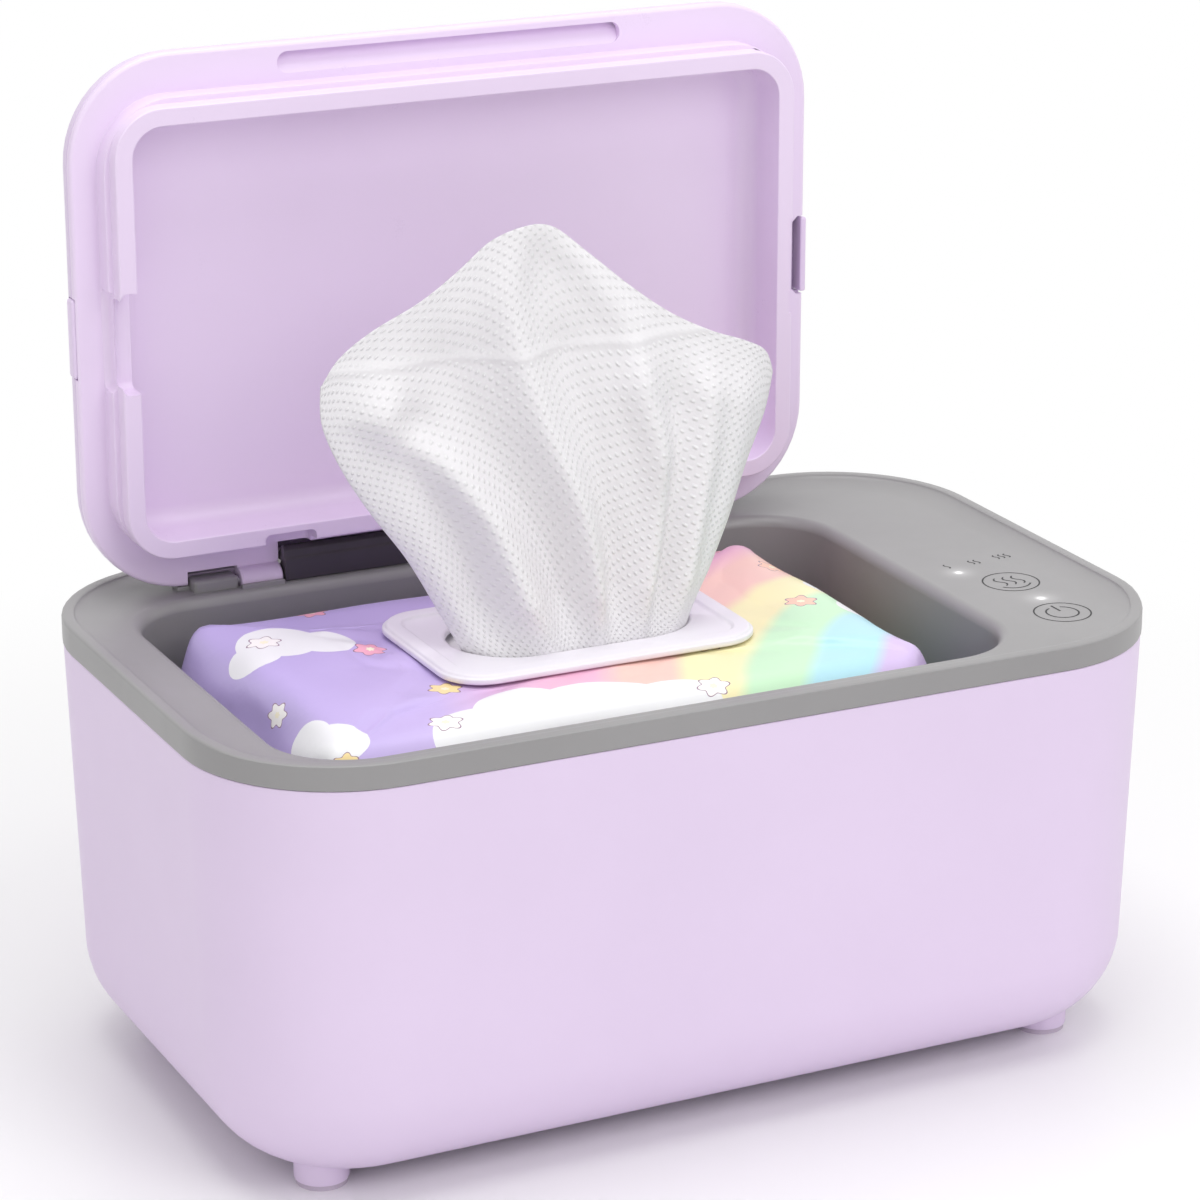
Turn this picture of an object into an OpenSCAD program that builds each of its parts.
// Baby wipe warmer: a tub with a heated tank, a hinged lid shown open, and a pack of wipes.
// Millimetres. Origin on the ground under the middle of the tub, +Z up, the front faces -Y.

/* [Tub] */
// Width of the tub across its rim
body_w = 265; // [245:1:300]
// Depth of the tub across its rim
body_d = 163.5; // [155:0.5:185]
// Radius of the tub's upright corners at the rim
corner_r = 41; // [34:1:48]
// Height of the rim's top above the ground
rim_z = 120; // [112:1:140]
// Height of the tub's flat bottom above the ground
foot_h = 3.5; // [2.5:0.5:6]
// Radius of the rounded lower edge
bottom_r = 26; // [18:1:28]
// Inward lean of the walls for each millimetre of depth
wall_draft = 0.029; // [0.01:0.001:0.04]
// Wall of the tub
shell_wall = 2.5; // [1.8:0.1:3]
// Radius of a foot
foot_r = 7; // [5:0.5:9]
// Thickness of a sole under a foot
sole_t = 1.2; // [0.8:0.1:1.8]
// Place of a foot in from the tub's side
foot_inset_x = 28; // [24:1:40]
// Place of a foot in from the tub's front and back
foot_inset_y = 28; // [24:1:36]

/* [Deck] */
// Height of the grey band round the top
band_h = 7.5; // [6:0.5:10]
// Width of the raised rim's flat top
rim_w = 4; // [3:0.5:6]
// Depth of the deck's floor below the rim
tray_depth = 2; // [1.5:0.1:2.5]
// Width of the hollow curve between the rim and the floor
cove_w = 8; // [5:0.5:10]
// Drop of the rim along the front
front_drop = 1; // [0.6:0.1:1.2]
// Thickness of the deck's plate
deck_t = 2.5; // [2:0.1:3]
// Thickness of the collar round the opening
collar_t = 2.4; // [2:0.1:2.6]
// Depth of the collar below the deck's floor
collar_h = 26; // [20:1:34]
// Radius of the opening's corners
opening_r = 20; // [16:1:24]
// Rounding of the opening's edge
lip_r = 3; // [2:0.5:3.5]

/* [Lid] */
// Bare deck to the left of the lid
lid_left = 12; // [11:0.5:16]
// Width of the control panel to the right of the lid
panel_w = 41; // [38:1:50]
// Radius of the lid's corners
lid_r = 28; // [24:1:28]
// Thickness of the closed lid above its rim
lid_t = 15; // [13:0.5:18]
// Wall of the lid's cover
cover_wall = 2.2; // [1.8:0.1:2.6]
// Rounding of the cover's upper edge
cover_r = 12; // [10:0.5:12]
// Thickness of the liner's flange
flange_t = 2.2; // [1.8:0.1:2.6]
// Height of the ring that dips into the opening
ring_h = 10; // [7:0.5:11]
// Wall of that ring
ring_wall = 4.8; // [3.5:0.1:5.2]
// Gap between the ring and the opening
ring_gap = 2.5; // [2:0.1:3]
// Depth of the cavity below the ring's edge
cavity_depth = 16; // [12:0.5:17]
// Length of the finger recess in the lid's front edge
scoop_len = 96; // [60:1:110]
// Length of a side clip
clip_len = 21; // [12:1:30]

/* [Hinge] */
// Distance of the hinge axis in from the tub's back
hinge_inset = 20.2; // [18.5:0.1:21]
// Length of the hinge block
block_len = 104; // [70:1:104]
// Height of the hinge block above the deck's floor
block_h = 9.5; // [7:0.5:10]
// Radius of the hinge pins
pin_r = 1.25; // [1:0.05:1.4]
// Running clearance of a pin in the lid's knuckle
pin_play = 0.05; // [0.03:0.01:0.08]
// Width of a lid knuckle
knuckle_w = 11.6; // [8:0.2:11.6]
// Outer radius of a lid knuckle
knuckle_r = 3.6; // [3.2:0.1:3.8]
// Width of a hinge ear
ear_w = 12.6; // [8:0.2:12.6]

/* [Tank and heater] */
// Height of the tank's floor above the ground
tank_floor_z = 40.5; // [38:0.5:46]
// Wall of the tank
tank_wall = 2.4; // [1.8:0.1:2.6]
// Thickness of the tank's floor
tank_floor_t = 4; // [3.5:0.1:5]
// Rim of the tank's floor at each end of the heat plate
plate_side = 9.7; // [8:0.1:20]
// Rim of the tank's floor before and behind the heat plate
plate_rim = 12; // [9:0.5:22]
// Thickness of the heat plate
plate_t = 1.2; // [1:0.1:1.6]
// Thickness of the gasket under the plate
gasket_t = 0.8; // [0.6:0.1:1.2]
// Width of the ledge under the gasket
ledge_w = 8; // [7:0.5:12]
// Thickness of the insulation under the tank
pad_t = 5; // [3:0.5:8]
// Thickness of the insulation round the tank
wrap_t = 2; // [1:0.1:2.2]

/* [Control panel] */
// Length of the circuit board
board_l = 70; // [62:1:74]
// Width of the circuit board
board_w = 28; // [26:1:30]
// Thickness of the circuit board
board_t = 1.6; // [1:0.1:2]
// Gap between the board and the deck
board_gap = 5; // [3.5:0.5:7]
// Radius of a touch spring
spring_r = 5; // [3:0.5:6]

/* [Power inlet] */
// Height of the inlet's axis above the ground
inlet_z = 36; // [33:1:60]
// Distance of the inlet in from the tub's right side
inlet_in = 66.5; // [52:0.5:82]
// Radius of the port that the plug enters
port_r = 5.2; // [4:0.1:6]
// Depth of that port
port_depth = 6; // [4:0.5:8]

/* [Wipes] */
// Gap between the pack and the tank's left side
bag_left = 4.5; // [3:0.5:14]
// Gap between the pack and the tank's right side
bag_right = 12.9; // [3:0.1:20]
// Gap between the pack and the tank's front
bag_front = 6.4; // [3:0.1:14]
// Gap between the pack and the tank's back
bag_back = 7.6; // [3:0.1:14]
// Drop of the pack's top below the deck's floor
bag_drop = 1.7; // [1:0.1:20]
// Thickness of the pack's film
film_t = 0.6; // [0.4:0.1:0.8]
// Width of the white frame on the pack
frame_w = 92; // [84:1:100]
// Depth of the white frame on the pack
frame_d = 57; // [50:1:60]
// Length of the mouth in the frame
mouth_w = 66; // [56:1:70]
// Width of the mouth in the frame
mouth_d = 34; // [28:1:36]
// Height of the pulled wipe above the frame
wipe_h = 105.4; // [80:0.2:118]
// Width of the pulled wipe
wipe_w = 123; // [80:1:132]

/* [Hidden] */

lavender = [0.85, 0.77, 0.89];
warm_grey = [0.66, 0.65, 0.65];
round_fn = 48;
loft_fn = 32;

// Overlap of joined solids, reach of a cut past a face, and the gaps between pieces
eps = 0.01;
over = 1;
snug = 0.02;
fit_gap = 0.1;
slide_gap = 0.2;
part_gap = 0.3;

// Heights
band_z = rim_z - band_h;
front_z = rim_z - front_drop;
tray_z = rim_z - tray_depth;
deck_under = tray_z - deck_t;
collar_bottom = tray_z - collar_h;

// Hinge axis, and the outline of the closed lid
edge_play = 0.15;
lid_rest_gap = 0.2;
lid_front_in = 0.35;
hinge_y = body_d / 2 - hinge_inset;
hinge_z = front_z + lid_rest_gap - edge_play;
lid_plane = hinge_z + edge_play;
lid_back = hinge_y - edge_play;
lid_front = -body_d / 2 + lid_front_in;
lid_d = lid_back - lid_front;
lid_w = body_w - lid_left - panel_w;
lid_cx = (lid_left - panel_w) / 2;
lid_cy = (lid_back + lid_front) / 2;
lid_angle = -90;

// Opening in the deck, in from the closed lid's outline
open_side = 6.3;
open_front = 9.4;
open_back = 7.4;
open_w = lid_w - 2 * open_side;
open_d = lid_d - open_front - open_back;
open_cy = (lid_front + open_front + lid_back - open_back) / 2;
lip_backing = 1;

// Ring under the lid, and the pan of the cavity inside it
ring_back_gap = 5.5;
ring_w = open_w - 2 * ring_gap;
ring_d = open_d - ring_gap - ring_back_gap;
ring_cy = open_cy + (ring_gap - ring_back_gap) / 2;
ring_r = opening_r - ring_gap;
cavity_r = max(ring_r - ring_wall, 3);
ring_edge = lid_plane - ring_h;
cavity_top = ring_edge + cavity_depth;
pan_t = 2;
finger_gap_l = 27;
hinge_gap_l = 14.5;
ring_notch = 5;
rib_h = 2;
rib_t = 1.6;
rib_gap = 0.35;
scoop_t = 1;
scoop_w = 6.6;
stud_r = 3;
stud_in = 26;

// Side clips of the lid
clip_in = 3;
clip_out = 1.5;
clip_h = 4.2;
clip_up = 0.6;

// Hinge pieces along the axis, measured out from the lid's middle
side_play = 0.4;
block_half = block_len / 2;
knuckle_in = block_half + side_play;
knuckle_out = knuckle_in + knuckle_w;
ear_in = knuckle_out + side_play;
ear_out = ear_in + ear_w;
pin_seat = 11;

// Hinge pieces across the axis
block_fore = 4.05;
block_aft = 3.45;
block_front = hinge_y - block_fore;
block_back = hinge_y + block_aft;
block_top = tray_z + block_h;
block_edge = 1.2;
seat_in = 0.35;
ear_h = 4.8;
ear_top = tray_z + ear_h;
stop_w = 3.4;
stop_fore = 0.9;
stop_aft = 5.4;
notch_gap = 0.4;
block_notch = norm([block_fore, block_top - hinge_z]) + notch_gap;
ear_notch = norm([block_fore, ear_top - hinge_z]) + notch_gap;
knuckle_reach = 9;
well_h = 5.4;
well_half = 6.5;
well_z = deck_under - well_h;

// Screws: a hole that one passes through is wider by screw_clear, one that it cuts into by snug
screw_r = 1.25;
screw_clear = 0.35;
screw_head_r = 2.4;
screw_head_h = 1.6;
boss_r = 2.7;
bite = 5;

// Tank
tank_under = tank_floor_z - tank_floor_t;
tank_edge_r = 8;
tank_bowl_r = 6;
socket_h = 8;
socket_t = 2;
socket_foot = 3;
socket_in = collar_t + slide_gap;
socket_out = socket_in + socket_t;
tab_z = collar_bottom + socket_h;
tab_t = 2;
tab_half = 1.5;
tab_reach = boss_r + 1;

// Screws of the tank, each with the turn of its tab towards the tank's wall
side_fix_x = open_w / 2 + socket_out + tab_reach;
tank_fix = [
    [lid_cx - ear_out - 4 * screw_head_r, open_cy + open_d / 2 + socket_out + tab_reach, -90],
    [lid_cx + ear_out + 4 * screw_head_r, open_cy + open_d / 2 + socket_out + tab_reach, -90],
    [lid_cx + side_fix_x, open_cy + open_d * 0.31, 180],
    [lid_cx + side_fix_x, open_cy - open_d * 0.44, 180],
    [lid_cx - side_fix_x, open_cy - open_d * 0.2, 0]
];
hinge_fix = [for (s = [-1, 1]) [lid_cx + s * block_half * 0.62, hinge_y - block_fore / 2]];

// Heat plate, and the window under it
plate_w = open_w - 2 * plate_side;
plate_d = open_d - 2 * plate_rim;
plate_r = 8;
window_w = plate_w - 2 * ledge_w;
window_d = plate_d - 2 * ledge_w;
window_r = 6;
plate_z = tank_floor_z - plate_t;
ledge_z = plate_z - gasket_t;
film_thick = 0.3;
film_in = 2;
plate_head_r = 2;
plate_head_h = 1;
plate_skin = 0.3;
plate_fix = [for (sx = [-1, 1], sy = [-1, 1])
    [lid_cx + sx * (plate_w - ledge_w) / 2, open_cy + sy * plate_d * 0.28]];

// Posts that carry the tank on the tub's floor
base_boss_r = 4;
base_boss_h = 3;
base_floor = foot_h + shell_wall + base_boss_h;
base_sink = 2;
base_head_z = foot_h + base_sink + screw_head_h;
base_bite = 16;
base_fix = [for (sx = [-1, 1], sy = [-1, 1])
    [lid_cx + sx * (plate_w / 2 - 1.5 * base_boss_r), open_cy + sy * plate_d * 0.35]];
pad_over = 4;
wrap_gap = 0.25;
wrap_drop = 4;
wrap_rise = 10;

// Control board, in the bay to the right of the tank; places on it are from its middle
bay_mid = 22.8;
board_in = 25.75;
board_cx = lid_cx + open_w / 2 + bay_mid;
board_cy = -body_d / 2 + board_in + board_l / 2;
board_top = deck_under - board_gap;
board_under = board_top - board_t;
board_bite = board_gap - 1.5;
board_fix_in = 4;
board_fix = [for (sx = [-1, 1], sy = [-1, 1])
    [board_cx + sx * (board_w / 2 - board_fix_in), board_cy + sy * (board_l / 2 - board_fix_in)]];
key_spots = [for (p = [[1.6, -3], [0, -27.5]]) [board_cx + p[0], board_cy + p[1]]];
led_spots = [for (p = [[-8, 9.5], [0, 9.5], [8, 9.5], [1.5, -16.5]]) [board_cx + p[0], board_cy + p[1]]];
chip_spots = [[1.5, 0.5], [-7, 13.5]];
chip_sizes = [[9, 9, 1.6], [6, 7, 2.2]];
plug_spot = [0, 25.5];
plug_size = [12, 7, 5];
spring_wall = 0.6;
led_w = 2;
led_h = 1;
pipe_r = 1.2;
pipe_gap = 0.05;
skin_t = 0.6;

// Power inlet
inlet_x = body_w / 2 - inlet_in;
inlet_wall_y = body_d / 2 - wall_draft * (rim_z - inlet_z);
port_collar_t = 2.2;
jack_w = 11;
jack_h = 9;
jack_l = 12;
jack_face_y = inlet_wall_y - port_depth;
jack_nose_r = 3.9;
jack_nose_l = 5;
nut_t = 3;
nut_rim = 1.4;

// Pack of wipes
bag_w = open_w - bag_left - bag_right;
bag_d = open_d - bag_front - bag_back;
bag_cx = lid_cx + (bag_left - bag_right) / 2;
bag_cy = open_cy + (bag_front - bag_back) / 2;
bag_z = tank_floor_z + part_gap;
bag_top = tray_z - bag_drop;
bag_r = 26;
bag_foot = 12;
shoulder_w = 20;
shoulder_h = 18;
stack_gap = 0.3;
frame_right = 6;
frame_back = 1.5;
frame_cx = bag_cx + frame_right;
frame_cy = bag_cy + frame_back;
frame_t = 2.4;
frame_r = 12;
frame_border = 5.5;
frame_step = 0.9;
frame_edge = 0.7;
frame_top = bag_top + frame_t;
slot_in = 3;

// ---------- helpers ----------

// Points of an arc
function arc(cx, cy, r, a0, a1, n) =
    [for (i = [0:n]) let (a = a0 + (a1 - a0) * i / n) [cx + r * cos(a), cy + r * sin(a)]];

// Outline of a rounded rectangle about the origin
function round_rect(w, d, r, n = 10) = let (x = w / 2 - r, y = d / 2 - r) concat(
    arc(x, y, r, 0, 90, n), arc(-x, y, r, 90, 180, n),
    arc(-x, -y, r, 180, 270, n), arc(x, -y, r, 270, 360, n));

// Upright plate with rounded corners
module slab(w, d, r, z0, z1) {
    translate([0, 0, z0]) linear_extrude(z1 - z0) polygon(round_rect(w, d, r));
}

// Quarter curves of a profile, as [distance in from the outline, height]: one rounds a lower
// edge, which starts reach in at z, and one an upper edge, which ends reach in at z + rise
function bowl(reach, rise, z, inset = 0) =
    [for (a = [0:15:90]) [inset + reach * (1 - sin(a)), z + rise * (1 - cos(a))]];
function dome(reach, rise, z, inset = 0) =
    [for (a = [0:15:90]) [inset + reach * (1 - cos(a)), z + rise * sin(a)]];

// Rounded box whose outline moves in by p[0] at the height p[1]; the shape bulges everywhere
module loft(w, d, r, profile) {
    first = profile[0];
    last = profile[len(profile) - 1];
    hull() for (sx = [-1, 1], sy = [-1, 1])
        translate([sx * (w / 2 - r), sy * (d / 2 - r), 0]) rotate_extrude($fn = loft_fn)
            polygon(concat([[0, first[1]]], [for (p = profile) [r - p[0], p[1]]], [[0, last[1]]]));
}

// Cylinder along X from x0 to x1
module rod_x(x0, x1, y, z, r) {
    translate([x0, y, z]) rotate([0, 90, 0]) cylinder(r = r, h = x1 - x0, $fn = round_fn);
}

// Upright cylinder from z0 to z1
module post(p, r, z0, z1) {
    translate([p[0], p[1], z0]) cylinder(r = r, h = z1 - z0, $fn = round_fn);
}

// Box from one corner to the opposite one
module block(a, b) {
    translate(a) cube([b[0] - a[0], b[1] - a[1], b[2] - a[2]]);
}

// Turns a piece of the closed lid about the hinge into its open place
module opened() {
    translate([0, hinge_y, hinge_z]) rotate([lid_angle, 0, 0])
        translate([0, -hinge_y, -hinge_z]) children();
}

// Puts both of a mirrored pair about the lid's middle
module both_sides() {
    for (s = [0, 1]) translate([lid_cx, 0, 0]) mirror([s, 0, 0]) children();
}

// Screw that points up, with its head against a face at z
module screw_up(p, z, length) {
    post(p, screw_head_r, z - screw_head_h, z);
    post(p, screw_r, z - eps, z + length);
}

// Rings of points square to a path, and a tube swept through them
function sweep_rings(path, r, sides) = [for (i = [0:len(path) - 1])
    let (
        a = path[max(i - 1, 0)], b = path[min(i + 1, len(path) - 1)],
        t = (b - a) / norm(b - a),
        u0 = cross(t, abs(t[0]) > 0.8 ? [0, 0, 1] : [1, 0, 0]), u = u0 / norm(u0), v = cross(t, u)
    )
    [for (k = [0:sides - 1]) let (g = 360 * k / sides) path[i] + r * (cos(g) * u + sin(g) * v)]];

module tube(path, r, sides = 8) {
    rings = sweep_rings(path, r, sides);
    n = len(path);
    points = [for (ring = rings) for (p = ring) p];
    side_faces = [for (i = [0:n - 2], k = [0:sides - 1]) let (m = (k + 1) % sides)
        for (f = [[i * sides + k, i * sides + m, (i + 1) * sides + m],
                  [i * sides + k, (i + 1) * sides + m, (i + 1) * sides + k]]) f];
    ends = concat(
        [for (k = [1:sides - 2]) [0, k + 1, k]],
        [for (k = [1:sides - 2]) [(n - 1) * sides, (n - 1) * sides + k, (n - 1) * sides + k + 1]]);
    polyhedron(points = points, faces = [for (f = concat(side_faces, ends)) [f[2], f[1], f[0]]]);
}

// ---------- tub ----------

// How far the tub's outside lies in from the rim's outline at a height
function lean(z) = wall_draft * (rim_z - z);

// Profile of the tub, moved in by a wall's thickness
function tub_profile(t, top) = let (
        knee = foot_h + bottom_r, c = lean(knee) + bottom_r, r = bottom_r - t)
    concat([for (a = [90:-10:0]) [c - r * cos(a), knee - r * sin(a)]],
           [[lean(top) + t, top]]);

foot_spots = [for (sx = [-1, 1], sy = [-1, 1])
    [sx * (body_w / 2 - foot_inset_x), sy * (body_d / 2 - foot_inset_y)]];

module outer_shell() {
    collar_in = over;
    color(lavender) difference() {
        union() {
            difference() {
                loft(body_w, body_d, corner_r, tub_profile(0, band_z));
                loft(body_w, body_d, corner_r, tub_profile(shell_wall, band_z + over));
            }
            for (p = foot_spots) post(p, foot_r, sole_t, base_floor);
            for (p = base_fix) post(p, base_boss_r, foot_h, base_floor);
            // collar of the plug's port
            translate([inlet_x, inlet_wall_y - collar_in, inlet_z]) rotate([90, 0, 0])
                cylinder(r = port_r + port_collar_t, h = port_depth - collar_in, $fn = round_fn);
        }
        for (p = base_fix) {
            post(p, screw_head_r + part_gap, foot_h - over, base_head_z);
            post(p, screw_r + screw_clear, foot_h, base_floor + over);
        }
        translate([inlet_x, inlet_wall_y + foot_r, inlet_z]) rotate([90, 0, 0])
            cylinder(r = port_r, h = port_depth + foot_r + over, $fn = round_fn);
    }
}

module foot_pads() {
    sole_in = 0.5;
    color([0.8, 0.72, 0.85]) for (p = foot_spots) post(p, foot_r - sole_in, 0, sole_t);
}

// ---------- deck ----------

// Removed shape of the shallow tray, with a hollow curve up to the rim
module tray_cut() {
    loft(body_w - 2 * rim_w, body_d - 2 * rim_w, corner_r - rim_w,
         concat(bowl(cove_w, tray_depth, tray_z), [[0, rim_z + over]]));
}

// Removed shape that lowers the rim along the front and fades out past the front corners
module front_cut() {
    front = -body_d / 2;
    fade_from = front + corner_r;
    fade_to = fade_from + corner_r / 2;
    translate([-body_w / 2 - over, 0, 0]) rotate([90, 0, 90]) linear_extrude(body_w + 2 * over)
        polygon([
            [front - over, front_z], [fade_from, front_z], [fade_to, rim_z + eps],
            [fade_to, rim_z + over], [front - over, rim_z + over]]);
}

// Removed shape of the opening, with its rounded edge
module opening_cut(bottom) {
    slices = 3;
    translate([lid_cx, open_cy, 0]) {
        slab(open_w, open_d, opening_r, bottom, tray_z - lip_r + eps);
        for (i = [0:slices - 1]) let (a = 90 * i / slices, b = 90 * (i + 1) / slices)
            loft(open_w, open_d, opening_r, [
                [-lip_r * (1 - cos(a)), tray_z - lip_r + lip_r * sin(a)],
                [-lip_r * (1 - cos(b)), tray_z - lip_r + lip_r * sin(b) + eps]]);
        slab(open_w + 2 * lip_r, open_d + 2 * lip_r, opening_r + lip_r, tray_z, rim_z + over);
    }
}

// Outside of the collar under the deck, thicker at the top to carry the opening's rounded edge
module collar_form() {
    wide = collar_t + lip_backing;
    translate([lid_cx, open_cy, 0]) {
        slab(open_w + 2 * collar_t, open_d + 2 * collar_t, opening_r + collar_t,
             collar_bottom, deck_under);
        slab(open_w + 2 * wide, open_d + 2 * wide, opening_r + wide, deck_under - lip_r, deck_under);
    }
}

// Collar round the opening, welded under the deck; the tank's socket takes its lower edge
module deck_collar() {
    color(warm_grey) difference() {
        collar_form();
        opening_cut(collar_bottom - over);
    }
}

// Ear that holds a pin's outer end, with the stop that the open lid leans on
module hinge_ear() {
    block([ear_in, block_front, deck_under], [ear_out, block_back, ear_top]);
    block([ear_out - eps, hinge_y + stop_fore, deck_under],
          [ear_out + stop_w, hinge_y + stop_aft, lid_plane - lid_rest_gap / 2]);
}

module top_frame() {
    tongue_h = 6.5;
    tongue_t = 2;
    tongue_in = shell_wall + lean(band_z - tongue_h) + part_gap;
    inside = tongue_in + tongue_t;
    color(warm_grey) difference() {
        union() {
            difference() {
                union() {
                    slab(body_w, body_d, corner_r, band_z, rim_z);
                    difference() {
                        slab(body_w - 2 * tongue_in, body_d - 2 * tongue_in,
                             corner_r - tongue_in, band_z - tongue_h, band_z + over);
                        slab(body_w - 2 * inside, body_d - 2 * inside, corner_r - inside,
                             band_z - tongue_h - over, band_z + 2 * over);
                    }
                }
                slab(body_w - 2 * inside, body_d - 2 * inside, corner_r - inside,
                     band_z - over, deck_under);
                tray_cut();
                front_cut();
            }
            // well under the hinge
            block([lid_cx - ear_out, hinge_y - well_half, well_z],
                  [lid_cx + ear_out, hinge_y + well_half, deck_under + over]);
            both_sides() hinge_ear();
            for (p = tank_fix) post(p, boss_r, tab_z + eps, deck_under + over);
            for (p = board_fix) post(p, boss_r, board_top, deck_under + over);
        }
        opening_cut(deck_under - over);
        collar_form();
        both_sides() {
            rod_x(knuckle_in - side_play / 2, knuckle_out + side_play / 2, hinge_y, hinge_z,
                  knuckle_r + notch_gap + fit_gap);
            rod_x(block_half - pin_seat, ear_in + pin_seat, hinge_y, hinge_z, pin_r + snug);
        }
        for (p = tank_fix) post(p, screw_r + snug, tab_z - over, tab_z + bite + over);
        for (p = board_fix) post(p, screw_r + snug, board_top - over, board_top + board_bite + over);
        for (p = hinge_fix) post(p, screw_r + screw_clear, well_z - over, tray_z + over);
        for (p = led_spots) post(p, pipe_r + pipe_gap, deck_under - over, tray_z - skin_t);
    }
}

// ---------- hinge ----------

module hinge_block() {
    seat = hinge_y - seat_in;
    color([0.25, 0.24, 0.25]) difference() {
        translate([lid_cx - block_half, 0, 0]) rotate([90, 0, 90]) linear_extrude(block_len)
            polygon([
                [block_front, tray_z], [block_back, tray_z], [block_back, ear_top],
                [seat, ear_top], [seat, block_top - block_edge], [seat - block_edge, block_top],
                [block_front + block_edge, block_top], [block_front, block_top - block_edge]]);
        both_sides()
            rod_x(block_half - pin_seat, block_half + over, hinge_y, hinge_z, pin_r + snug);
        for (p = hinge_fix) post(p, screw_r + snug, tray_z - over, tray_z + bite + over);
    }
}

module hinge_pins() {
    color("silver") both_sides() rod_x(block_half - pin_seat + slide_gap,
                                       ear_in + pin_seat - slide_gap, hinge_y, hinge_z, pin_r);
}

module hinge_screws() {
    color("silver") for (p = hinge_fix) screw_up(p, well_z, well_h + deck_t + bite);
}

// ---------- lid, drawn closed and turned open ----------

// Spaces that the hinge block, the ears and the knuckles need in the lid
module hinge_room() {
    rod_x(lid_cx - block_half - side_play, lid_cx + block_half + side_play, hinge_y, hinge_z,
          block_notch);
    both_sides() {
        rod_x(ear_in - side_play, ear_out + side_play, hinge_y, hinge_z, ear_notch);
        rod_x(knuckle_in - side_play, knuckle_out + side_play, hinge_y, hinge_z,
              knuckle_r + notch_gap);
    }
}

// Clip at the middle of each side of the lid, grown by a gap for its slot
module clip_form(gap) {
    both_sides() block(
        [lid_w / 2 - clip_in - gap, open_cy - clip_len / 2 - gap, lid_plane + clip_up - gap],
        [lid_w / 2 + clip_out + gap, open_cy + clip_len / 2 + gap, lid_plane + clip_up + clip_h + gap]);
}

module lid_cover() {
    parting = lid_plane + flange_t + fit_gap;
    knee = lid_plane + lid_t - cover_r;
    inner_r = cover_r - cover_wall;
    color(lavender) opened() difference() {
        translate([lid_cx, lid_cy, 0])
            loft(lid_w, lid_d, lid_r, concat([[0, parting]], dome(cover_r, cover_r, knee)));
        translate([lid_cx, lid_cy, 0]) loft(lid_w, lid_d, lid_r,
            concat([[cover_wall, parting - over]], dome(inner_r, inner_r, knee, cover_wall)));
        hinge_room();
        clip_form(fit_gap);
    }
}

// Flange of the liner, with the rib that fits inside the cover
module liner_flange() {
    rib_in = cover_wall + rib_gap;
    rib_top = lid_plane + flange_t + rib_h;
    translate([lid_cx, lid_cy, 0]) {
        slab(lid_w, lid_d, lid_r, lid_plane, lid_plane + flange_t);
        difference() {
            slab(lid_w - 2 * rib_in, lid_d - 2 * rib_in, lid_r - rib_in, lid_plane, rib_top);
            slab(lid_w - 2 * (rib_in + rib_t), lid_d - 2 * (rib_in + rib_t), lid_r - rib_in - rib_t,
                 lid_plane - over, rib_top + over);
        }
    }
}

// Ring that dips into the opening, and the pan behind its cavity
module liner_ring() {
    translate([lid_cx, ring_cy, 0]) {
        slab(ring_w, ring_d, ring_r, ring_edge, lid_plane + flange_t);
        slab(ring_w - 2 * (ring_wall - pan_t), ring_d - 2 * (ring_wall - pan_t), cavity_r + pan_t,
             lid_plane, cavity_top + pan_t);
    }
}

// Gaps in the ring: one in each side for a finger, and two at the hinge
module ring_gaps() {
    ring_back = ring_cy + ring_d / 2;
    both_sides() {
        block([ring_w / 2 - ring_wall - over, open_cy - finger_gap_l / 2, ring_edge - over],
              [ring_w / 2 + over, open_cy + finger_gap_l / 2, ring_edge + ring_notch]);
        block([knuckle_in - hinge_gap_l / 2, ring_back - ring_wall - over, ring_edge - over],
              [knuckle_in + hinge_gap_l / 2, ring_back + over, ring_edge + ring_notch]);
    }
}

module lid_liner() {
    color([0.87, 0.79, 0.91]) opened() difference() {
        union() {
            difference() {
                union() {
                    liner_flange();
                    liner_ring();
                }
                translate([lid_cx, ring_cy, 0])
                    slab(ring_w - 2 * ring_wall, ring_d - 2 * ring_wall, cavity_r,
                         ring_edge - over, cavity_top);
                // finger recess in the front edge
                block([lid_cx - scoop_len / 2, lid_front - over, lid_plane - over],
                      [lid_cx + scoop_len / 2, lid_front + scoop_w, lid_plane + scoop_t]);
                ring_gaps();
                hinge_room();
            }
            both_sides() {
                rod_x(knuckle_in, knuckle_out, hinge_y, hinge_z, knuckle_r);
                block([knuckle_in, hinge_y - knuckle_reach, lid_plane],
                      [knuckle_out, lid_back - cover_wall - slide_gap, lid_plane + flange_t + rib_h]);
                block([knuckle_in, hinge_y - knuckle_reach, lid_plane],
                      [knuckle_out, hinge_y, lid_plane + flange_t]);
            }
            // studs that stand against the cover's inside
            for (sx = [-1, 1], sy = [-1, 1])
                post([lid_cx + sx * (ring_w / 2 - stud_in), ring_cy + sy * (ring_d / 2 - stud_in)],
                     stud_r, cavity_top + pan_t - eps, lid_plane + lid_t - cover_wall - snug);
        }
        both_sides()
            rod_x(knuckle_in - over, knuckle_out + over, hinge_y, hinge_z, pin_r + pin_play);
        clip_form(fit_gap);
    }
}

module lid_clips() {
    color([0.82, 0.73, 0.87]) opened() clip_form(0);
}

// ---------- tank and heater ----------

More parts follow.
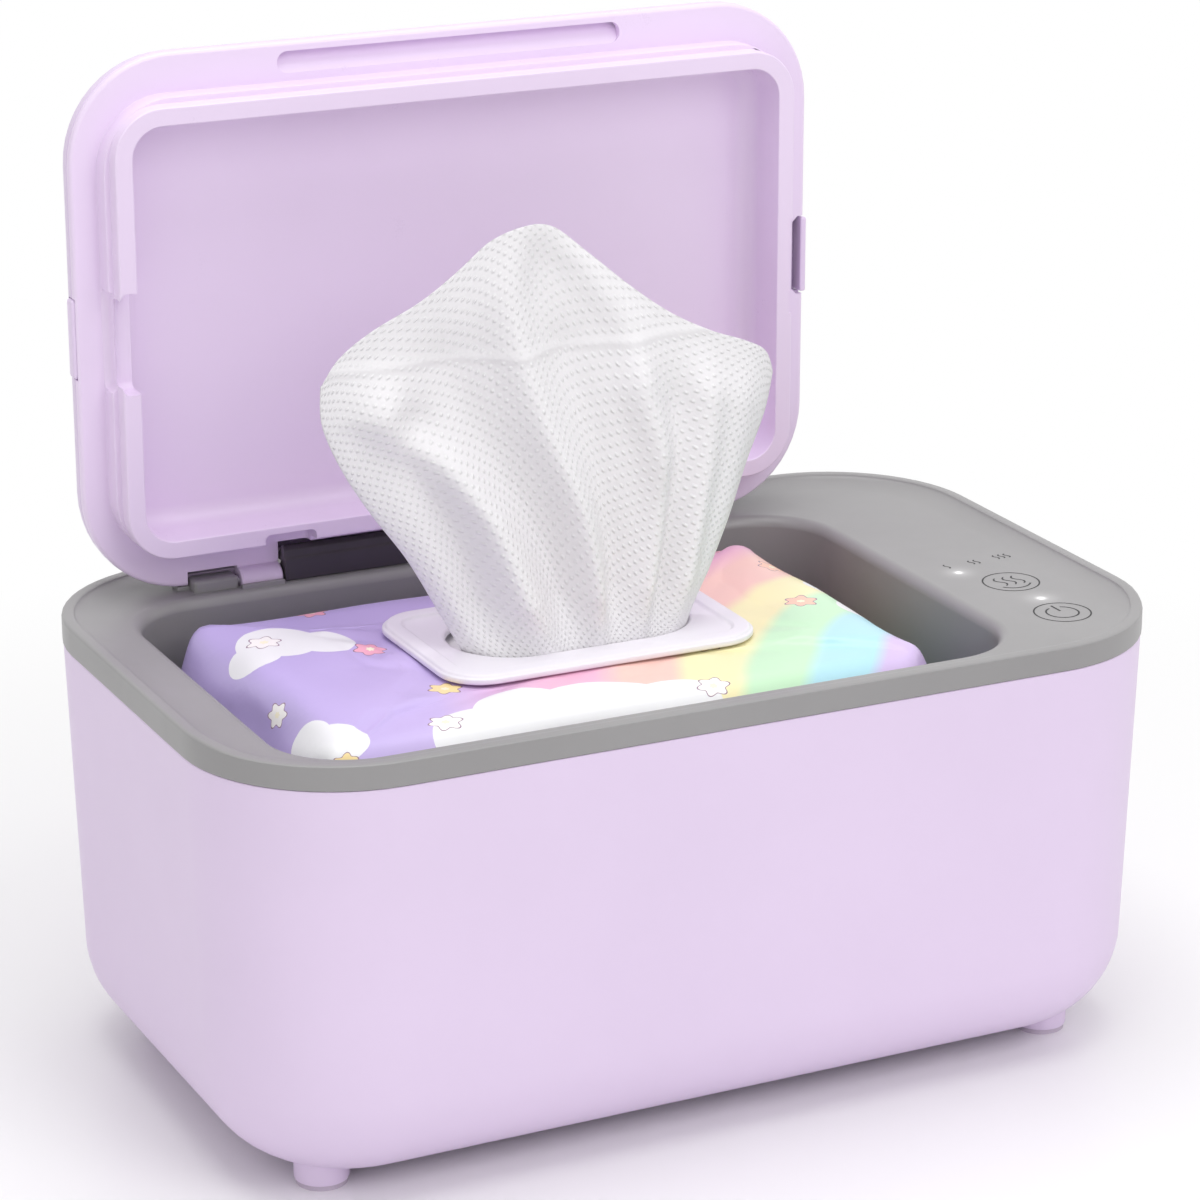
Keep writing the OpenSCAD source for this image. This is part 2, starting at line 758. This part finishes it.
module inner_tank() {
    color([0.6, 0.59, 0.59]) difference() {
        union() {
            translate([lid_cx, open_cy, 0]) {
                loft(open_w + 2 * tank_wall, open_d + 2 * tank_wall, opening_r + tank_wall,
                     concat(bowl(tank_edge_r, tank_edge_r, tank_under), [[0, collar_bottom]]));
                slab(open_w + 2 * socket_out, open_d + 2 * socket_out, opening_r + socket_out,
                     collar_bottom - socket_foot, tab_z);
            }
            // tabs that the tank hangs from, screwed to the deck's bosses; the socket's room trims them
            for (p = tank_fix) {
                post(p, boss_r, tab_z - tab_t, tab_z);
                translate([p[0], p[1], 0]) rotate([0, 0, p[2]])
                    block([0, -tab_half, tab_z - tab_t], [tab_reach + socket_out, tab_half, tab_z]);
            }
            for (p = base_fix) post(p, base_boss_r, base_floor + snug, tank_under + over);
        }
        translate([lid_cx, open_cy, 0]) {
            loft(open_w, open_d, opening_r,
                 concat(bowl(tank_bowl_r, tank_bowl_r, tank_floor_z), [[0, collar_bottom + over]]));
            slab(open_w + 2 * socket_in, open_d + 2 * socket_in, opening_r + socket_in,
                 collar_bottom, tab_z + over);
            slab(plate_w + 2 * slide_gap, plate_d + 2 * slide_gap, plate_r + slide_gap,
                 ledge_z, tank_floor_z + over);
            slab(window_w, window_d, window_r, tank_under - over, ledge_z + over);
        }
        for (p = tank_fix) post(p, screw_r + screw_clear, tab_z - tab_t - over, tab_z + over);
        for (p = base_fix) post(p, screw_r + snug, base_floor - over, base_floor + base_bite + over);
        for (p = plate_fix) post(p, screw_r + slide_gap, tank_under - over, ledge_z + over);
    }
}

module heat_plate() {
    color([0.8, 0.8, 0.82]) difference() {
        translate([lid_cx, open_cy, 0]) slab(plate_w, plate_d, plate_r, plate_z, tank_floor_z);
        for (p = plate_fix) post(p, screw_r + snug, plate_z - over, tank_floor_z - plate_skin);
    }
}

module plate_gasket() {
    color([0.9, 0.88, 0.86]) difference() {
        translate([lid_cx, open_cy, 0]) slab(plate_w, plate_d, plate_r, ledge_z, plate_z);
        translate([lid_cx, open_cy, 0])
            slab(window_w, window_d, window_r, ledge_z - over, plate_z + over);
        for (p = plate_fix) post(p, screw_r + slide_gap, ledge_z - over, plate_z + over);
    }
}

module plate_screws() {
    color("silver") for (p = plate_fix) {
        post(p, plate_head_r, tank_under - plate_head_h, tank_under);
        post(p, screw_r, tank_under - eps, tank_floor_z - plate_skin - fit_gap);
    }
}

module heater_film() {
    color([0.75, 0.45, 0.15]) translate([lid_cx, open_cy, 0])
        slab(window_w - 2 * film_in, window_d - 2 * film_in, window_r - film_in / 2,
             plate_z - film_thick, plate_z);
}

// Sensors clamped under the heater film, each from the lid's middle line
sensor_r = 1.1;
sensor_z = plate_z - film_thick - sensor_r;
sensor_y = 12;
sensor_x = 26;
bead_l = 8;
fuse_l = 12;

module thermistor() {
    color([0.15, 0.15, 0.18]) rod_x(lid_cx + sensor_x - bead_l, lid_cx + sensor_x,
                                    open_cy + sensor_y, sensor_z, sensor_r);
}

module thermal_fuse() {
    color([0.85, 0.8, 0.6]) rod_x(lid_cx + sensor_x - fuse_l, lid_cx + sensor_x,
                                  open_cy - sensor_y, sensor_z, sensor_r);
}

// Foam pad under the tank, with a channel for the heater's wires
module insulation_pad() {
    channel_half = 4;
    channel_h = 3;
    color([0.3, 0.3, 0.32]) difference() {
        translate([lid_cx, open_cy, 0])
            slab(plate_w + 2 * pad_over, plate_d + 2 * pad_over, plate_r + pad_over,
                 tank_under - pad_t, tank_under);
        for (p = base_fix) post(p, base_boss_r + part_gap, 0, tank_under + over);
        for (p = plate_fix)
            post(p, plate_head_r + screw_clear, tank_under - plate_head_h, tank_under + over);
        block([lid_cx + sensor_x, open_cy - channel_half, tank_under - channel_h],
              [lid_cx + plate_w, open_cy + channel_half, tank_under + over]);
    }
}

// Foam band round the tank
module insulation_wrap() {
    inside = tank_wall + wrap_gap;
    outside = inside + wrap_t;
    low = tank_under + wrap_rise;
    high = collar_bottom - wrap_drop;
    color([0.35, 0.35, 0.37]) translate([lid_cx, open_cy, 0]) difference() {
        slab(open_w + 2 * outside, open_d + 2 * outside, opening_r + outside, low, high);
        slab(open_w + 2 * inside, open_d + 2 * inside, opening_r + inside, low - over, high + over);
    }
}

module tank_screws() {
    color("silver") for (p = tank_fix) screw_up(p, tab_z - tab_t, tab_t + bite);
}

module base_screws() {
    color("silver") for (p = base_fix)
        screw_up(p, base_head_z, base_floor - base_head_z + base_bite);
}

// ---------- control panel ----------

// Part that hangs under the board, at a place from the board's middle
module under_board(spot, size) {
    x = board_cx + spot[0];
    y = board_cy + spot[1];
    block([x - size[0] / 2, y - size[1] / 2, board_under - size[2]],
          [x + size[0] / 2, y + size[1] / 2, board_under]);
}

module control_board() {
    color([0.1, 0.4, 0.2]) difference() {
        block([board_cx - board_w / 2, board_cy - board_l / 2, board_under],
              [board_cx + board_w / 2, board_cy + board_l / 2, board_top]);
        for (p = board_fix) post(p, screw_r + slide_gap, board_under - over, board_top + over);
    }
}

module board_chips() {
    color([0.12, 0.12, 0.13])
        for (i = [0:len(chip_spots) - 1]) under_board(chip_spots[i], chip_sizes[i]);
    color([0.9, 0.9, 0.88]) under_board(plug_spot, plug_size);
}

module board_screws() {
    color("silver") for (p = board_fix) screw_up(p, board_under, board_t + board_bite);
}

module touch_springs() {
    color("silver") for (p = key_spots) difference() {
        post(p, spring_r, board_top, deck_under);
        post(p, spring_r - spring_wall, board_top - over, deck_under + over);
    }
}

module status_leds() {
    color("white") for (p = led_spots)
        block([p[0] - led_w / 2, p[1] - led_w / 2, board_top],
              [p[0] + led_w / 2, p[1] + led_w / 2, board_top + led_h]);
}

module light_pipes() {
    color([0.9, 0.95, 1]) for (p = led_spots)
        post(p, pipe_r, board_top + led_h + snug, tray_z - skin_t);
}

// ---------- power inlet and leads ----------

module dc_jack() {
    color([0.1, 0.1, 0.11]) {
        translate([inlet_x, jack_face_y, inlet_z]) rotate([90, 0, 0])
            cylinder(r = jack_nose_r, h = jack_nose_l + eps, $fn = round_fn);
        block([inlet_x - jack_w / 2, jack_face_y - jack_nose_l - jack_l, inlet_z - jack_h / 2],
              [inlet_x + jack_w / 2, jack_face_y - jack_nose_l, inlet_z + jack_h / 2]);
    }
}

// Ring that holds the jack's nose against the port's collar
module jack_nut() {
    color("silver") translate([inlet_x, jack_face_y, inlet_z]) rotate([90, 0, 0])
        difference() {
            cylinder(r = port_r + nut_rim, h = nut_t, $fn = 6);
            translate([0, 0, -over])
                cylinder(r = jack_nose_r + snug, h = nut_t + 2 * over, $fn = round_fn);
        }
}

// Both leads rise in the bay beside the tank to the board's plug; bay_z(k) is a height on the way
jack_lead_r = 1.4;
heater_lead_r = 1.1;
lead_pitch = 3;
lead_run_z = tank_under - 1.6;
jack_tail = [inlet_x, jack_face_y - jack_nose_l - jack_l, inlet_z];
plug_under = [board_cx + plug_spot[0], board_cy + plug_spot[1], board_under - plug_size[2]];
tank_side = lid_cx + open_w / 2 + tank_wall + wrap_t;
bay_low = tank_under - 10;
bay_high = plug_under[2] - 8;
function bay_z(k) = bay_low + (bay_high - bay_low) * k;

// The inlet's wires, from the jack to the board's plug
module jack_lead() {
    bay_x = tank_side + 9;
    span = plug_under[1] - jack_tail[1];
    color([0.15, 0.15, 0.16]) tube(concat(
        [jack_tail, jack_tail + [0, -2.5, 0], jack_tail + [4, -5, -2]],
        [for (p = [[-8, 0.24, 0], [-3, 0.39, 0], [0, 0.53, 0.06], [1, 0.6, 0.17], [2, 0.66, 0.34],
                   [2, 0.7, 0.51], [2, 0.74, 0.68], [2, 0.8, 0.85]])
            [bay_x + p[0], jack_tail[1] + span * p[1], bay_z(p[2])]],
        [plug_under + [lead_pitch, 5.5, -8], plug_under + [lead_pitch, 0, -3],
         plug_under + [lead_pitch, 0, 0]]), jack_lead_r);
}

// The heater's wires, out through the pad's channel
module heater_lead() {
    bay_x = tank_side + 5;
    tap_x = window_w / 2 - 22;
    film_z = plate_z - film_thick;
    color([0.85, 0.82, 0.8]) tube(concat(
        [for (p = [[tap_x, film_z], [tap_x, film_z - 1.5], [tap_x + 2, tank_under - 0.6],
                   [tap_x + 10, lead_run_z], [tap_x + 20, lead_run_z], [tap_x + 30, lead_run_z]])
            [lid_cx + p[0], open_cy, p[1]]],
        [[tank_side - 3, open_cy, lead_run_z], [bay_x - 2, open_cy + 1, tank_under + 3]],
        [for (p = [[0, 2, 0.29], [0, 5, 0.48], [0, 8, 0.65], [1, 11, 0.83]])
            [bay_x + p[0], open_cy + p[1], bay_z(p[2])]],
        [plug_under + [-lead_pitch - 2, -4, -8], plug_under + [-lead_pitch, 0, -3],
         plug_under + [-lead_pitch, 0, 0]]), heater_lead_r);
}

// ---------- wipes ----------

// Profile of the soft pack, moved in by t all over
function bag_profile(t) = concat(
    bowl(bag_foot, bag_foot, bag_z + t, t), dome(shoulder_w, shoulder_h - t, bag_top - shoulder_h, t));

// Upright shape of the mouth, a slot with round ends
module mouth(w, d, z0, z1) {
    translate([frame_cx, frame_cy, z0]) linear_extrude(z1 - z0)
        polygon(round_rect(w, d, d / 2 - eps, 8));
}

module wipes_bag() {
    color([0.8, 0.72, 0.9]) difference() {
        translate([bag_cx, bag_cy, 0]) loft(bag_w, bag_d, bag_r, bag_profile(0));
        translate([bag_cx, bag_cy, 0]) loft(bag_w, bag_d, bag_r, bag_profile(film_t));
        mouth(mouth_w - 2 * slot_in, mouth_d - 2 * slot_in, bag_top - 2 * film_t, bag_top + over);
    }
}

// The folded wipes that fill the pack
module wipes_stack() {
    color([0.97, 0.97, 0.97]) translate([bag_cx, bag_cy, 0])
        loft(bag_w, bag_d, bag_r, bag_profile(film_t + stack_gap));
}

module bag_ring() {
    shelf = frame_top - frame_step;
    color([0.96, 0.95, 0.97]) difference() {
        translate([frame_cx, frame_cy, 0]) union() {
            slab(frame_w, frame_d, frame_r, bag_top, shelf);
            difference() {
                slab(frame_w - 2 * frame_edge, frame_d - 2 * frame_edge, frame_r - frame_edge,
                     shelf - eps, frame_top);
                slab(frame_w - 2 * frame_border, frame_d - 2 * frame_border, frame_r - 4,
                     shelf - eps, frame_top + over);
            }
        }
        mouth(mouth_w, mouth_d, bag_top - over, frame_top + over);
    }
}

// The pulled wipe: a sheet that fans out from the mouth to a peak and two side corners
wipe_cols = 30;
wipe_rows = 14;
wipe_t = 0.9;
wipe_base = bag_top - film_t;
wipe_rise = frame_top - wipe_base;
fan_half = mouth_w / 2 - 9;
fan_belly = 5;
fold_depth = 5.5;
fold_sway = 2.5;
lean_back = 7;
lean_right = -3.3;
peak_u = 0.47;
left_share = 0.66;
right_share = 0.57;
slope_power = 1.15;

// Height of the sheet's far edge as a share of the whole: a peak at peak_u between two corners
function edge_share(u) = u < peak_u
    ? left_share + (1 - left_share) * pow(u / peak_u, slope_power)
    : right_share + (1 - right_share) * pow((1 - u) / (1 - peak_u), slope_power);

// Point of the sheet: u runs across it, v up it, w is the side of the sheet
function wipe_point(u, v, w) = let (
        s = 2 * u - 1,
        far_x = wipe_w / 2 * (s + 0.06 * sin(180 * s)),
        x = fan_half * s * (1 - v) + far_x * v + fan_belly * s * sin(180 * v),
        fold = fold_depth * (1 - 0.45 * v) * sin(1152 * u + 40) + fold_sway * v * sin(540 * u - 30))
    [frame_cx + lean_right * v + x, frame_cy + fold + lean_back * v * v + w,
     wipe_base + v * (wipe_rise + wipe_h * edge_share(u))];

module wipe() {
    n = wipe_cols + 1;
    m = wipe_rows + 1;
    points = [for (w = [0, wipe_t], j = [0:wipe_rows], i = [0:wipe_cols])
        wipe_point(i / wipe_cols, j / wipe_rows, w)];
    front = [for (j = [0:wipe_rows - 1], i = [0:wipe_cols - 1]) let (a = j * n + i)
        for (f = [[a, a + 1, a + n + 1], [a, a + n + 1, a + n]]) f];
    back = [for (f = front) [f[2] + n * m, f[1] + n * m, f[0] + n * m]];
    rim = concat([for (i = [0:wipe_cols]) i], [for (j = [1:wipe_rows]) j * n + wipe_cols],
        [for (i = [wipe_cols - 1:-1:0]) wipe_rows * n + i], [for (j = [wipe_rows - 1:-1:1]) j * n]);
    count = len(rim);
    edge = [for (k = [0:count - 1]) let (a = rim[k], b = rim[(k + 1) % count])
        for (f = [[b, a, a + n * m], [b, a + n * m, b + n * m]]) f];
    color("white") polyhedron(points = points, faces = concat(front, back, edge));
}

outer_shell();
foot_pads();
top_frame();
deck_collar();
inner_tank();
heat_plate();
plate_gasket();
heater_film();
thermistor();
thermal_fuse();
insulation_pad();
insulation_wrap();
control_board();
board_chips();
touch_springs();
status_leds();
light_pipes();
dc_jack();
jack_nut();
jack_lead();
heater_lead();
hinge_block();
hinge_pins();
lid_cover();
lid_liner();
lid_clips();
wipes_bag();
bag_ring();
wipes_stack();
wipe();
hinge_screws();
tank_screws();
board_screws();
plate_screws();
base_screws();
